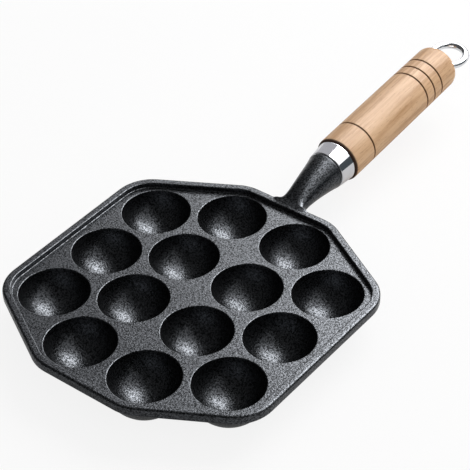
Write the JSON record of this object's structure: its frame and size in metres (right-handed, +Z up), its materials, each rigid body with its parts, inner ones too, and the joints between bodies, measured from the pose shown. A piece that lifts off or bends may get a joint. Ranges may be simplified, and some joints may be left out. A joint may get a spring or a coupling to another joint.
{
  "type": "takoyaki pan",
  "caption": "Cast iron pan with half-ball cups in a raised-rim plate, a flared neck, a turned wooden grip and a hanging eye on a tie rod.",
  "frame": {"origin": "on the table, under the middle of the object's bounding box", "axes": "+X from the pan towards the hanging eye, +Z up from the table, +Y to the left seen from the pan's far end"},
  "size_m": [0.369, 0.1818, 0.0509],
  "materials": {
    "iron": "sand-cast, seasoned, satin",
    "ferrule_plating": "mirror",
    "beech": "turned, lacquered, with burnt grooves",
    "washer_plating": "zinc plated",
    "rod_plating": "mirror"
  },
  "bodies": {
    "pan": {"pan_casting": "iron", "ferrule": "ferrule_plating", "wooden_grip": "beech", "eye_washer": "washer_plating"},
    "tie_rod": {"tie_rod_eye": "rod_plating"}
  },
  "joints": [
    {"name": "tie_rod_turn", "type": "hinge", "parent": "pan", "child": "tie_rod", "pos_m": [0.17145, 0, 0.03773], "axis": [0.9972, 0, 0.0745], "continuous": true}
  ]
}
